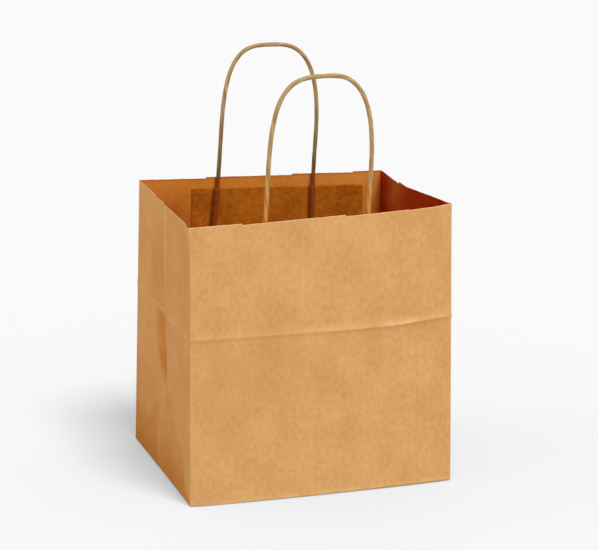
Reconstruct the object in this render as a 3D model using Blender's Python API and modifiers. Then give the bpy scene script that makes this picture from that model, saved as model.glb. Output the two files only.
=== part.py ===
"""A brown paper carrier bag with two twisted paper handles.

The bag is one folded sheet: two wide walls, two side walls that fold in along their middle, and
a block bottom closed by two lapped flaps. Each handle is a bent paper cord. Its two ends lie
against a wide wall, inside the mouth, under a glued paper strip.

The bag is first cut out as a plain box, in box coordinates: x and y are measured from the middle
of the bottom, and z from the bottom to the mouth. The function stand() then moves each point to
where the creased paper of a standing bag has it. Lengths are in metres and +Z is up.
"""

from math import cos, pi, sin

import bmesh
import bpy
from mathutils import Vector

# Paper
PAPER = 0.0002
GLUE_GAP = 0.0003

# Bag, as a plain box
BAG_WIDTH = 0.2535
BAG_DEPTH = 0.181
BAG_HEIGHT = 0.260

# How far the standing bag is out of square, as (x, y, z) at each corner of the mouth
BASE_SKEW_X = 0.0020
BASE_SKEW_Y = 0.0015
MOUTH_SHIFTS = {
    (-1, -1): (-0.0006, 0.0009, -0.0007),
    (1, -1): (-0.0060, 0.0068, 0.0045),
    (-1, 1): (0.0004, -0.0015, 0.0008),
    (1, 1): (-0.0072, -0.0004, -0.0029),
}

# Fold across all four walls, where the empty bag was folded flat for its packet
FLAT_FOLD_HEIGHT = 0.156
FLAT_FOLD_RIDGE = 0.0009
FLAT_FOLD_REACH = 0.007

# Side walls: a triangle folded up from the bottom, and a middle fold from its tip to the mouth.
# The fold depths are at the tip, at the flat fold and at the mouth.
TRIANGLE_HEIGHT = 0.079
FOLD_DEPTHS = {
    -1: (0.0050, 0.0026, 0.0012),
    1: (0.0050, 0.0060, 0.0080),
}

# Wide walls: how far their middle stands out
WALL_BOW = 0.0020

# Mouth, cut by a stepped blade: each place is a share of the wall's length
TOOTH = 0.0013
TOOTH_RUN = 0.0005
MOUTH_BAND = 0.008
TEETH = {
    "front": (0.19, 0.58, 0.83),
    "back": (0.27, 0.62),
    "left": (0.36, 0.71),
    "right": (0.28, 0.65),
}

# Bottom flaps, lapped over each other under the floor
FLAP_LAYERS = 2
FLAP_LAP = 0.018
FLAP_END_WIDTH = 0.074
FLAP_SET_BACK = 0.0008

# Glued lap that closes the tube, on the back wall
SEAM_WIDTH = 0.016
SEAM_INSET = 0.010
SEAM_END_CLEARANCE = 0.002

# Handles: a cord bent to an arch on two legs. The spacing is between the legs at the arch's foot.
# The arch is squarer on its left than on its right, and the whole handle leans to the right.
CORD_DIAMETER = 0.0041
HANDLE_SPACING = 0.0990
LEG_SPLAY = 0.0020
LEG_DEPTH = 0.050
ARCH_FOOT = 0.030
ARCH_LEFT_POWER = 3.5
ARCH_RIGHT_POWER = 2.7
FRONT_HANDLE = {"centre": -0.0061, "rise": 0.1252, "lean": 0.038}
BACK_HANDLE = {"centre": 0.0033, "rise": 0.1271, "lean": 0.048}

# Strips glued over the handles' ends
STRIP_WIDTH = 0.180
STRIP_HEIGHT = 0.056
STRIP_DROP = 0.0113
STRIP_OFFSET = 0.0135
STRIP_TILT = 0.0030

# Mesh density
WIDE_COLUMNS = 12
SIDE_COLUMNS = 8
STRIP_COLUMNS = 9
STRIP_ROWS = 4
LEG_POINTS = 7
ARCH_POINTS = 34
CORD_BEVEL_RESOLUTION = 3

LIFT = FLAP_LAYERS * PAPER
TINY = 1e-6


def clear_scene():
    for item in list(bpy.data.objects):
        bpy.data.objects.remove(item, do_unlink=True)


def new_collection(name):
    collection = bpy.data.collections.new(name)
    bpy.context.scene.collection.children.link(collection)
    return collection


def paper_material(name, colour, roughness):
    """A plain Principled material."""
    material = bpy.data.materials.new(name)
    material.use_nodes = True
    shader = material.node_tree.nodes["Principled BSDF"]
    shader.inputs["Base Color"].default_value = (*colour, 1.0)
    shader.inputs["Roughness"].default_value = roughness
    shader.inputs["Metallic"].default_value = 0.0
    return material


def between(low, high, count):
    """The count - 1 places that cut low to high into equal steps."""
    return [low + (high - low) * i / count for i in range(1, count)]


def blend(points, at):
    """A broken line through (place, value) pairs, read at one place."""
    for (low, start), (high, end) in zip(points, points[1:]):
        if at <= high:
            return start + (end - start) * (at - low) / (high - low)
    return points[-1][1]


def corner_shift(u, v, h):
    """How far a point of the box moves because the corners are out of square."""
    total = Vector((0.0, 0.0, 0.0))
    for (side_x, side_y), mouth in MOUTH_SHIFTS.items():
        share = (u if side_x > 0 else 1 - u) * (v if side_y > 0 else 1 - v)
        base = Vector((-side_y * BASE_SKEW_X, -side_x * BASE_SKEW_Y, 0.0))
        total += share * base.lerp(Vector(mouth), h)
    return total


def side_fold_depth(side, y, z):
    """How far a side wall folds in: flat on the triangle, and a shallow V above it."""
    from_edge = 1 - abs(y) / (BAG_DEPTH / 2)
    tip, middle, mouth = FOLD_DEPTHS[side]
    if z < TRIANGLE_HEIGHT:
        return tip * min(from_edge, z / TRIANGLE_HEIGHT)
    line = [(TRIANGLE_HEIGHT, tip), (FLAT_FOLD_HEIGHT, middle), (BAG_HEIGHT, mouth)]
    return blend(line, z) * from_edge


def flat_fold_ridge(z):
    """How far the walls stand out at the fold that crosses them."""
    return FLAT_FOLD_RIDGE * max(0.0, 1 - abs(z - FLAT_FOLD_HEIGHT) / FLAT_FOLD_REACH)


def stand(x, y, z):
    """Where a point of the plain box lies on the standing bag's outer face."""
    u = x / BAG_WIDTH + 0.5
    v = y / BAG_DEPTH + 0.5
    place = Vector((x, y, z + LIFT)) + corner_shift(u, v, z / BAG_HEIGHT)
    if abs(x) > BAG_WIDTH / 2 - TINY:
        side = 1 if x > 0 else -1
        place.x += side * (flat_fold_ridge(z) - side_fold_depth(side, y, z))
    if abs(y) > BAG_DEPTH / 2 - TINY:
        bow = WALL_BOW * sin(pi * u) * sin(pi * min(z / BAG_HEIGHT, 1.0) * 0.75)
        place.y += (1 if y > 0 else -1) * (bow + flat_fold_ridge(z))
    return place


def tooth_height(wall, share):
    """Height of the stepped cut: it climbs slowly to each step, then drops."""
    steps = TEETH[wall]
    if share <= steps[0]:
        return 0.0
    for low, high in zip(steps, steps[1:] + (1.0,)):
        if share <= high:
            return -TOOTH * (high - share) / (high - low)
    return 0.0


def wall_rows():
    """Heights of the rows of points on the walls, with one on each fold."""
    below = FLAT_FOLD_HEIGHT - FLAT_FOLD_REACH
    above = FLAT_FOLD_HEIGHT + FLAT_FOLD_REACH
    band = BAG_HEIGHT - MOUTH_BAND
    return (
        between(0.0, TRIANGLE_HEIGHT, 3)
        + [TRIANGLE_HEIGHT]
        + between(TRIANGLE_HEIGHT, below, 3)
        + [below, FLAT_FOLD_HEIGHT, above]
        + between(above, band, 4)
        + [band]
    )


def cut(bm, faces, point, normal):
    """Cuts the given faces along a plane and keeps both sides."""
    edges = {edge for face in faces for edge in face.edges}
    corners = {corner for face in faces for corner in face.verts}
    geometry = list(faces) + list(edges) + list(corners)
    bmesh.ops.bisect_plane(bm, geom=geometry, dist=TINY, plane_co=point, plane_no=normal)


def cut_triangles(bm):
    """Cuts the side walls along the slanted folds that rise from the bottom corners."""
    for side_x in (-1, 1):
        for side_y in (-1, 1):
            faces = []
            for face in bm.faces:
                middle = face.calc_center_median()
                on_side = middle.x * side_x > BAG_WIDTH / 2 - TINY
                if on_side and middle.y * side_y > 0 and middle.z < TRIANGLE_HEIGHT:
                    faces.append(face)
            slope = (0, TRIANGLE_HEIGHT, side_y * BAG_DEPTH / 2)
            cut(bm, faces, (0, 0, TRIANGLE_HEIGHT), slope)


def wall_of(place):
    """The wall that a point of the box lies on, and its share of that wall's length."""
    if abs(place.y) > BAG_DEPTH / 2 - TINY:
        return ("back" if place.y > 0 else "front"), place.x / BAG_WIDTH + 0.5
    return ("right" if place.x > 0 else "left"), place.y / BAG_DEPTH + 0.5


def cut_teeth(bm):
    """Adds the points that the stepped mouth needs, in the band just under it."""
    for wall, steps in TEETH.items():
        along_x = wall in ("front", "back")
        length = BAG_WIDTH if along_x else BAG_DEPTH
        normal = (1, 0, 0) if along_x else (0, 1, 0)
        for step in steps:
            for place in (step * length - length / 2, step * length - length / 2 + TOOTH_RUN):
                faces = []
                for face in bm.faces:
                    middle = face.calc_center_median()
                    if middle.z > BAG_HEIGHT - MOUTH_BAND and wall_of(middle)[0] == wall:
                        faces.append(face)
                cut(bm, faces, (place, 0, 0) if along_x else (0, place, 0), normal)


def box_without_lid():
    """The plain box as an open surface, cut along every fold, row and column."""
    bm = bmesh.new()
    bmesh.ops.create_cube(bm, size=1.0)
    bmesh.ops.scale(bm, vec=(BAG_WIDTH, BAG_DEPTH, BAG_HEIGHT), verts=bm.verts[:])
    bmesh.ops.translate(bm, vec=(0, 0, BAG_HEIGHT / 2), verts=bm.verts[:])
    lid = [face for face in bm.faces if face.calc_center_median().z > BAG_HEIGHT - TINY]
    bmesh.ops.delete(bm, geom=lid, context="FACES_ONLY")
    for height in wall_rows():
        cut(bm, bm.faces[:], (0, 0, height), (0, 0, 1))
    for x in between(-BAG_WIDTH / 2, BAG_WIDTH / 2, WIDE_COLUMNS):
        cut(bm, bm.faces[:], (x, 0, 0), (1, 0, 0))
    for y in between(-BAG_DEPTH / 2, BAG_DEPTH / 2, SIDE_COLUMNS):
        cut(bm, bm.faces[:], (0, y, 0), (0, 1, 0))
    cut_triangles(bm)
    cut_teeth(bm)
    bmesh.ops.triangulate(bm, faces=bm.faces[:])
    return bm


def make_bag_sheet(collection, material):
    """The bag's walls and floor, one paper thick."""
    bm = box_without_lid()
    for point in bm.verts:
        x, y, z = point.co
        step = 0.0
        if z > BAG_HEIGHT - TINY:
            step = tooth_height(*wall_of(point.co))
        point.co = stand(x, y, z) + Vector((0, 0, step))
    mesh = bpy.data.meshes.new("bag_body")
    bm.to_mesh(mesh)
    bm.free()
    mesh.materials.append(material)
    bag = bpy.data.objects.new("bag_body", mesh)
    collection.objects.link(bag)
    add_thickness(bag, PAPER)
    return bag


def add_thickness(item, thickness):
    """Turns an open surface into a sheet, on the side away from its normals."""
    solidify = item.modifiers.new("Thickness", "SOLIDIFY")
    solidify.thickness = thickness
    solidify.offset = -1.0
    solidify.use_even_offset = True
    solidify.use_rim = True


def weld_on(item, tool):
    """Joins a second shape to an object as one body."""
    union = item.modifiers.new("Join " + tool.name, "BOOLEAN")
    union.operation = "UNION"
    union.solver = "EXACT"
    union.object = tool


def hide_tool(tool):
    tool.hide_render = True
    tool.display_type = "WIRE"


def flat_plate(name, outline, low, high, collection):
    """A flat plate of the given outline between two heights."""
    curve = bpy.data.curves.new(name, "CURVE")
    curve.dimensions = "2D"
    curve.fill_mode = "BOTH"
    curve.extrude = (high - low) / 2
    spline = curve.splines.new("POLY")
    spline.points.add(len(outline) - 1)
    for point, (x, y) in zip(spline.points, outline):
        point.co = (x, y, 0, 1)
    spline.use_cyclic_u = True
    drawn = bpy.data.objects.new(name + "_curve", curve)
    drawn.location = (0, 0, (low + high) / 2)
    collection.objects.link(drawn)
    bpy.context.view_layer.update()
    shape = drawn.evaluated_get(bpy.context.evaluated_depsgraph_get())
    mesh = bpy.data.meshes.new_from_object(shape)
    bm = bmesh.new()
    bm.from_mesh(mesh)
    bmesh.ops.remove_doubles(bm, verts=bm.verts[:], dist=TINY)
    bmesh.ops.recalc_face_normals(bm, faces=bm.faces[:])
    bm.to_mesh(mesh)
    bm.free()
    plate = bpy.data.objects.new(name, mesh)
    plate.matrix_world = drawn.matrix_world
    collection.objects.link(plate)
    bpy.data.objects.remove(drawn, do_unlink=True)
    hide_tool(plate)
    return plate


def make_flap(name, side_y, layer, collection):
    """One long bottom flap, from its wall to a little past the middle."""
    edge = BAG_DEPTH / 2 - FLAP_SET_BACK
    half = BAG_WIDTH / 2 - FLAP_SET_BACK
    tip = FLAP_END_WIDTH / 2
    corners = [(-half, edge), (half, edge), (tip, -FLAP_LAP), (-tip, -FLAP_LAP)]
    outline = []
    for x, y in corners:
        place = Vector((x, side_y * y, 0.0))
        place += corner_shift(x / BAG_WIDTH + 0.5, place.y / BAG_DEPTH + 0.5, 0.0)
        outline.append((place.x, place.y))
    return flat_plate(name, outline, layer * PAPER, LIFT + PAPER / 2, collection)


def make_seam(collection):
    """The glued lap down the back wall, half sunk in the sheet that it closes."""
    low_x = -BAG_WIDTH / 2 + SEAM_INSET
    heights = [SEAM_END_CLEARANCE] + wall_rows() + [BAG_HEIGHT - SEAM_END_CLEARANCE]
    bm = bmesh.new()
    bmesh.ops.create_grid(bm, x_segments=2, y_segments=len(heights) - 1, size=0.5)
    for point in bm.verts:
        row = round((point.co.y + 0.5) * (len(heights) - 1))
        x = low_x + (point.co.x + 0.5) * SEAM_WIDTH
        point.co = stand(x, BAG_DEPTH / 2, heights[row]) + Vector((0, PAPER, 0))
    bmesh.ops.triangulate(bm, faces=bm.faces[:])
    face_away(bm, Vector((0, 1, 0)))
    mesh = bpy.data.meshes.new("seam")
    bm.to_mesh(mesh)
    bm.free()
    seam = bpy.data.objects.new("seam", mesh)
    collection.objects.link(seam)
    add_thickness(seam, 1.5 * PAPER)
    hide_tool(seam)
    return seam


def face_away(bm, direction):
    """Turns an open surface so that its normals look along a direction."""
    bm.normal_update()
    if sum((face.normal.dot(direction) for face in bm.faces)) < 0:
        bmesh.ops.reverse_faces(bm, faces=bm.faces[:])


def inside_wall(side_y, x, z, depth):
    """A point inside the mouth, a given depth from a wide wall's inner face, or above it."""
    place = stand(x, side_y * BAG_DEPTH / 2, min(z, BAG_HEIGHT))
    place.z += max(0.0, z - BAG_HEIGHT)
    place.y -= side_y * (PAPER + depth)
    return place


def leg_offset(z):
    """How far each leg stands from the handle's centre at a height: they spread downwards."""
    foot = BAG_HEIGHT + ARCH_FOOT
    bottom = BAG_HEIGHT - LEG_DEPTH
    share = min(max((z - bottom) / (foot - bottom), 0.0), 1.0)
    return HANDLE_SPACING / 2 + LEG_SPLAY * (1 - share) ** 2


def handle_middle(handle, z):
    """Where the leaning handle's centre is at a height."""
    return handle["centre"] + handle["lean"] * (z - BAG_HEIGHT)


def cord_route(side_y, handle):
    """The handle's middle line: up the left leg, over the arch and down the right leg."""
    foot = BAG_HEIGHT + ARCH_FOOT
    bottom = BAG_HEIGHT - LEG_DEPTH
    leg = [(-leg_offset(z), z) for z in [bottom] + between(bottom, foot, LEG_POINTS)]
    arch = []
    for i in range(ARCH_POINTS + 1):
        turn = pi * i / ARCH_POINTS
        side, power = (-1, ARCH_LEFT_POWER) if turn < pi / 2 else (1, ARCH_RIGHT_POWER)
        across = side * abs(cos(turn)) ** (2 / power)
        up = sin(turn) ** (2 / power) if 0 < i < ARCH_POINTS else 0.0
        arch.append((HANDLE_SPACING / 2 * across, foot + (handle["rise"] - ARCH_FOOT) * up))
    line = leg + arch + [(-across, z) for across, z in reversed(leg)]
    depth = GLUE_GAP + CORD_DIAMETER / 2
    return [inside_wall(side_y, handle_middle(handle, z) + across, z, depth) for across, z in line]


def make_handle(name, side_y, handle, collection, material):
    """A cord with round section and closed ends, along the handle's route."""
    route = cord_route(side_y, handle)
    curve = bpy.data.curves.new(name, "CURVE")
    curve.dimensions = "3D"
    curve.bevel_depth = CORD_DIAMETER / 2
    curve.bevel_resolution = CORD_BEVEL_RESOLUTION
    curve.use_fill_caps = True
    spline = curve.splines.new("POLY")
    spline.points.add(len(route) - 1)
    for point, place in zip(spline.points, route):
        point.co = (*place, 1.0)
    spline.use_smooth = True
    curve.materials.append(material)
    cord = bpy.data.objects.new(name, curve)
    collection.objects.link(cord)
    return cord


def strip_profile():
    """How far the strip stands off the wall, from a cord's middle outwards.

    It runs round the cord with the glue gap between them, then down to the wall.
    """
    reach = CORD_DIAMETER / 2 + GLUE_GAP
    return [
        (0.0, 2.02 * reach),
        (0.45 * reach, 2.02 * reach),
        (1.08 * reach, 1.50 * reach),
        (3.0 * reach, GLUE_GAP),
    ]


def strip_columns(low_x, high_x, handle):
    """The strip's columns, each as a leg's side and a distance from it, or as a fixed place."""
    profile = strip_profile()
    top = BAG_HEIGHT - STRIP_DROP
    legs = [handle_middle(handle, top) + side * leg_offset(top) for side in (-1, 1)]
    columns = []
    for x in [low_x] + between(low_x, high_x, STRIP_COLUMNS) + [high_x]:
        if min(abs(x - leg) for leg in legs) > 2 * profile[-1][0]:
            columns.append((x, 0, x))
    for side, leg in zip((-1, 1), legs):
        offsets = {0.0} | {away for away, _ in profile} | {-away for away, _ in profile}
        columns += [(leg + offset, side, offset) for offset in offsets]
    return sorted(columns)


def make_strip(name, side_y, handle, collection, material):
    """The paper strip over one handle's ends, with a ridge over each cord."""
    profile = strip_profile()
    middle = handle["centre"] + side_y * STRIP_OFFSET
    columns = strip_columns(middle - STRIP_WIDTH / 2, middle + STRIP_WIDTH / 2, handle)
    top = BAG_HEIGHT - STRIP_DROP
    rows = [top - STRIP_HEIGHT] + between(top - STRIP_HEIGHT, top, STRIP_ROWS) + [top]
    bm = bmesh.new()
    bmesh.ops.create_grid(bm, x_segments=len(columns) - 1, y_segments=len(rows) - 1, size=0.5)
    for point in bm.verts:
        start, side, offset = columns[round((point.co.x + 0.5) * (len(columns) - 1))]
        z = rows[round((point.co.y + 0.5) * (len(rows) - 1))]
        z -= side_y * STRIP_TILT * (start - middle) / STRIP_WIDTH
        x = offset
        if side:
            x += handle_middle(handle, z) + side * leg_offset(z)
        depth = blend(profile, abs(offset)) if side else GLUE_GAP
        point.co = inside_wall(side_y, x, z, depth)
    bmesh.ops.triangulate(bm, faces=bm.faces[:])
    face_away(bm, Vector((0, side_y, 0)))
    mesh = bpy.data.meshes.new(name)
    bm.to_mesh(mesh)
    bm.free()
    mesh.materials.append(material)
    strip = bpy.data.objects.new(name, mesh)
    collection.objects.link(strip)
    add_thickness(strip, PAPER)
    return strip


def main():
    clear_scene()
    parts = new_collection("paper_carrier_bag")
    tools = new_collection("joined_shapes")
    kraft = paper_material("brown_kraft_paper", (0.69, 0.37, 0.13), 0.8)
    strip_paper = paper_material("recycled_strip_paper", (0.30, 0.15, 0.06), 0.9)
    cord_paper = paper_material("twisted_paper_cord", (0.40, 0.24, 0.10), 0.75)

    bag = make_bag_sheet(parts, kraft)
    weld_on(bag, make_flap("back_flap", 1, 0, tools))
    weld_on(bag, make_flap("front_flap", -1, 1, tools))
    weld_on(bag, make_seam(tools))

    for place, side_y, handle in (("front", -1, FRONT_HANDLE), ("back", 1, BACK_HANDLE)):
        make_handle(place + "_handle", side_y, handle, parts, cord_paper)
        make_strip(place + "_handle_strip", side_y, handle, parts, strip_paper)


main()
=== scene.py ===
# %% [markdown]
# # A brown paper carrier bag with twisted paper handles
# A carrier bag is one sheet of brown kraft paper. It is folded and glued into a tube, closed
# below with flaps, and folded flat for its packet. Two bent paper cords are its handles. Their
# ends are glued to the inside of the wide walls under a strip of darker paper.
#
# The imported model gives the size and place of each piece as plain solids. This script dresses
# them: each piece is made again as a thin surface with its folds, buckles and twist, and then
# gets the finish of its paper. Lengths are in metres, +Z is up and the front looks along -Y.

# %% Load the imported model, which every piece is placed by
from math import pi, radians

import bpy
import numpy as np
from mathutils import Matrix


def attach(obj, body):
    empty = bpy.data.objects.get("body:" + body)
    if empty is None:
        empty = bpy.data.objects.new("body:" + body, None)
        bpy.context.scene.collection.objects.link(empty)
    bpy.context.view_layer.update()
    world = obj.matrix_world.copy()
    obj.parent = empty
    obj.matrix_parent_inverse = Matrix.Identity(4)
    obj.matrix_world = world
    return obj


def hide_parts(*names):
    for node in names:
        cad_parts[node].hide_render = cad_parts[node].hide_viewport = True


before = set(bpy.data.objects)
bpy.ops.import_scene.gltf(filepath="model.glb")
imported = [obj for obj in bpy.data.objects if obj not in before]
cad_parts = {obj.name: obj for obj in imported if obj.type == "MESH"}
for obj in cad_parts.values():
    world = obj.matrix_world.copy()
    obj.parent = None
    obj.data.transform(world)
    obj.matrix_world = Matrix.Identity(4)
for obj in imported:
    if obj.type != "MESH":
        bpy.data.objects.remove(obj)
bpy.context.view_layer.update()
print("nodes:", sorted(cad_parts))

# %% [markdown]
# ## The camera
# The bag stands a little turned to the right, and is seen from above at 16 degrees, so that its
# front, its left side and its open mouth show. A long lens from almost two metres keeps the
# upright edges nearly parallel. The place and turn below were found by a least squares fit of
# the box's corners, which is more exact than turning a camera by eye.

# %% A long lens, almost two metres away
EYE = (-0.587, -1.6837, 0.6934)
YAW = -0.3381
PITCH = 0.2783
ROLL = 0.0249
LENS = 119.4


def add_object(name, data):
    """A new object with that data, linked to the scene."""
    item = bpy.data.objects.new(name, data)
    bpy.context.scene.collection.objects.link(item)
    return item


camera = add_object("camera", bpy.data.cameras.new("camera"))
camera.data.lens = LENS
turn = Matrix.Rotation(YAW, 4, "Z") @ Matrix.Rotation(pi / 2 - PITCH, 4, "X")
camera.matrix_world = Matrix.Translation(EYE) @ turn @ Matrix.Rotation(ROLL, 4, "Z")
bpy.context.scene.camera = camera
bpy.context.scene.view_settings.view_transform = "Standard"
print("camera at", EYE, "with a lens of", LENS, "mm")

# %% [markdown]
# ## The shape of the standing bag
# A point of the walls is named by how far round the bag it is, and by its height. Both are
# measured on the plain box that the sheet was folded to. A few plain rules then bend the box to
# the bag that stands there: its corners are out of square, its side walls fold in along their
# middle, and an old fold crosses all four walls where the bag was flat in its packet.
#
# A cloth simulation could crumple a sheet too, but paper hardly stretches and its folds lie
# where a machine put them, so functions of the two lengths describe it better.

# %% Sizes of the bag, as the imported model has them
PAPER = 0.0002
GLUE_GAP = 0.0003
WIDTH = 0.2535
DEPTH = 0.181
HEIGHT = 0.26
LIFT = 2 * PAPER
BASE_SKEW_X = 0.002
BASE_SKEW_Y = 0.0015
MOUTH_SHIFTS = {
    (-1, -1): (-0.0006, 0.0009, -0.0007),
    (1, -1): (-0.0060, 0.0068, 0.0045),
    (-1, 1): (0.0004, -0.0015, 0.0008),
    (1, 1): (-0.0072, -0.0004, -0.0029),
}
CORNERS = np.cumsum([0.0, WIDTH, DEPTH, WIDTH, DEPTH])
ROUND = CORNERS[-1]
MIDDLE_FOLDS = np.array([CORNERS[1] + DEPTH / 2, CORNERS[3] + DEPTH / 2])
print("the sheet is", round(ROUND * 1000), "mm round and", round(HEIGHT * 1000), "mm high")


# %% Five curves that the shapes and marks are made of
def bell(value, width):
    """exp(-(value / width)^2): one at nought, and nearly nought at twice the width."""
    return np.exp(-(value / width) ** 2)


def step(value, soft):
    """(1 + tanh(value / soft)) / 2: a smooth step from nought to one, where value is nought."""
    return 0.5 + 0.5 * np.tanh(value / soft)


def ramp(value, length):
    """value / length, kept between nought and one."""
    return np.clip(value / length, 0, 1)


def fall(value, length):
    """1 - value / length, kept between nought and one."""
    return np.clip(1 - value / length, 0, 1)


def table(value, pairs):
    """The value read from a table of pairs, with straight lines between them."""
    at, given = np.transpose(pairs)
    return np.interp(value, at, given)


# %% From the length round the bag to a place on the box
TINY = 1e-6


def box_outline(along):
    """Walks round the box from the front left corner: front, right, back, then left wall."""
    half_x, half_y = WIDTH / 2, DEPTH / 2
    x = np.interp(along, CORNERS, [-half_x, half_x, half_x, -half_x, -half_x])
    y = np.interp(along, CORNERS, [-half_y, -half_y, half_y, half_y, -half_y])
    return x, y


def on_side_wall(x):
    """Whether a point is on the left or right wall."""
    return np.abs(x) > WIDTH / 2 - TINY


def on_wide_wall(y):
    """Whether a point is on the front or back wall."""
    return np.abs(y) > DEPTH / 2 - TINY


def corner_distance(along):
    """How far round the bag the nearest upright corner is."""
    return np.abs(along[..., None] - CORNERS).min(axis=-1)


def before_middle(along):
    """How far in front of the side wall's middle fold a column is; negative is behind it."""
    return np.where(along > CORNERS[2], along - MIDDLE_FOLDS[1], MIDDLE_FOLDS[0] - along)


def corner_shift(x, y, z):
    """Out of square corners: each corner's own shift, shared out by how near the point is."""
    across, back, up = x / WIDTH + 0.5, y / DEPTH + 0.5, (z / HEIGHT)[..., None]
    total = np.zeros((*np.shape(x), 3))
    for (side_x, side_y), mouth in MOUTH_SHIFTS.items():
        share = (across if side_x > 0 else 1 - across) * (back if side_y > 0 else 1 - back)
        base = np.array((-side_y * BASE_SKEW_X, -side_x * BASE_SKEW_Y, 0.0))
        total += share[..., None] * (base * (1 - up) + np.array(mouth) * up)
    return total


# %% [markdown]
# ### The folds
# A fold in paper isn't a knife edge: it has a radius of about a millimetre, and the paper lifts
# a little on both sides. Each function below gives how far the wall is moved outwards.
#
# The fold across the walls is a low ridge. It leans back slowly over a centimetre above its top
# and drops within three millimetres below it. That is why it shows as a pale band over a soft
# dark line; a painted highlight on the band and a painted shadow line under it add to both.

# %% The fold across all four walls
FLAT_FOLD = 0.156
FLAT_FOLD_LINE = [  # along, height
    (0, 0.157), (0.0745, 0.1558), (0.1405, 0.1543), (0.1995, 0.1537), (0.246, 0.1571),
    (0.2535, 0.1575), (0.3, 0.1555), (0.344, 0.153), (0.39, 0.155), (0.4345, 0.158),
    (0.51, 0.1552), (0.59, 0.1544), (0.688, 0.1586), (0.7265, 0.1563), (0.7525, 0.155),
    (0.7785, 0.1536), (0.7945, 0.1521), (0.8385, 0.1542), (0.869, 0.157),
]
FLAT_FOLD_RISE = 0.0006
FLAT_FOLD_ABOVE = 0.0105
FLAT_FOLD_BELOW = 0.0032
FLAT_FOLD_STRENGTH = [(0, 0.75), (0.09, 0.8), (0.21, 1.15), (0.25, 0.8), (ROUND, 0.75)]


def warp_rows(along, z):
    """Moves the rows up or down, most at the flat fold, so that one row runs along it."""
    share = np.where(z < FLAT_FOLD, z / FLAT_FOLD, (HEIGHT - z) / (HEIGHT - FLAT_FOLD))
    return z + (table(along, FLAT_FOLD_LINE) - FLAT_FOLD) * np.clip(share, 0, 1)


def flat_fold_ridge(along, row):
    """Falls as a square above the fold and faster below it; strongest on the front's right."""
    above = fall(row - FLAT_FOLD, FLAT_FOLD_ABOVE) ** 2
    below = fall(FLAT_FOLD - row, FLAT_FOLD_BELOW) ** 1.5
    strength = FLAT_FOLD_RISE * table(along, FLAT_FOLD_STRENGTH)
    return strength * np.where(row > FLAT_FOLD, above, below)


print("the flat fold is about", round(1000 * FLAT_FOLD), "mm up")

# %% The folds of the side walls
TRIANGLE = 0.079
FOLD_HEIGHTS = [TRIANGLE, FLAT_FOLD, HEIGHT]
LEFT_FOLD_DEPTHS = [0.005, 0.0026, 0.0012]
RIGHT_FOLD_DEPTHS = [0.005, 0.006, 0.008]
FOLD_RADIUS = 0.0012
TRIANGLE_SOFT = 0.0009
TRIANGLE_REACH = TRIANGLE + 0.02


def side_fold(x, y, z):
    """A shallow V above the triangle, and below it flat faces that rise from the corners.
    The lesser of the two is (a + b - sqrt((a - b)^2 + soft)) / 2, which has a round edge."""
    soft = np.sqrt((y / (DEPTH / 2)) ** 2 + (FOLD_RADIUS / DEPTH) ** 2)
    from_edge = np.clip(1 - soft, 0, 1)
    left = np.interp(z, FOLD_HEIGHTS, LEFT_FOLD_DEPTHS)
    right = np.interp(z, FOLD_HEIGHTS, RIGHT_FOLD_DEPTHS)
    rise = z / TRIANGLE
    lower = 0.5 * (from_edge + rise - np.sqrt((from_edge - rise) ** 2 + TRIANGLE_SOFT))
    lower = np.minimum(np.clip(lower, 0, 1), from_edge)
    return np.where(x > 0, right, left) * np.where(z < TRIANGLE_REACH, lower, from_edge)


print("the triangles are", round(1000 * TRIANGLE), "mm high")

# %% [markdown]
# ### Buckles
# Paper that has been folded, flattened and opened never comes back flat. It keeps long, low
# waves, and it dents where folds meet. The waves are a sum of plane waves with random
# directions, which has no grain of its own. The dents are long soft bumps at chosen places,
# mostly about the tip of the triangle where four folds meet.

# %% Waves from plane waves, and dents
WAVE_SPREAD = (0.7, 1.5)
DENTS = [
    # along, height, half width, half length, turn in degrees, outwards
    (0.7690, 0.122, 0.0075, 0.034, 3, -0.0015),
    (0.7560, 0.120, 0.0060, 0.036, -2, 0.0006),
    (0.7830, 0.180, 0.0050, 0.050, 0, 0.0005),
    (0.7860, 0.062, 0.0060, 0.026, -24, -0.0011),
    (0.7950, 0.058, 0.0060, 0.026, -24, 0.0007),
    (0.7620, 0.050, 0.0050, 0.028, 22, 0.0009),
    (0.7520, 0.044, 0.0050, 0.024, 22, -0.0008),
    (0.8420, 0.040, 0.0140, 0.040, -20, -0.0012),
    (0.7100, 0.060, 0.0120, 0.050, 8, 0.0009),
    (0.7350, 0.168, 0.0160, 0.007, 12, -0.0007),
    (0.8150, 0.146, 0.0200, 0.006, -8, -0.0006),
    (0.8500, 0.205, 0.0060, 0.040, 2, 0.0004),
    (0.3440, 0.118, 0.0080, 0.036, -3, -0.0014),
    (0.3560, 0.060, 0.0060, 0.028, 22, -0.0010),
    (0.3300, 0.058, 0.0060, 0.026, -22, 0.0008),
    (0.3700, 0.210, 0.0080, 0.040, 4, 0.0006),
    (0.4650, 0.100, 0.0200, 0.060, 10, 0.0006),
    (0.6400, 0.070, 0.0180, 0.050, -14, -0.0006),
    (0.0300, 0.090, 0.0120, 0.060, 5, -0.0004),
    (0.0900, 0.110, 0.0260, 0.050, -20, -0.0005),
    (0.2200, 0.060, 0.0200, 0.050, 16, 0.0004),
]


def unit(vectors):
    """The same directions with a length of one."""
    return vectors / np.linalg.norm(vectors, axis=1)[:, None]


def waves(places, length, count, seed):
    """The sum of sin(place . direction + phase) over the root of their count, with random
    directions, and wavelengths near the given length."""
    rng = np.random.default_rng(seed)
    directions = unit(rng.normal(size=(count, 3)))
    directions *= 2 * pi / (length * rng.uniform(*WAVE_SPREAD, size=(count, 1)))
    phases = rng.uniform(0, 2 * pi, size=count)
    return np.sin(places @ directions.T + phases).sum(axis=-1) / np.sqrt(count)


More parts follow.
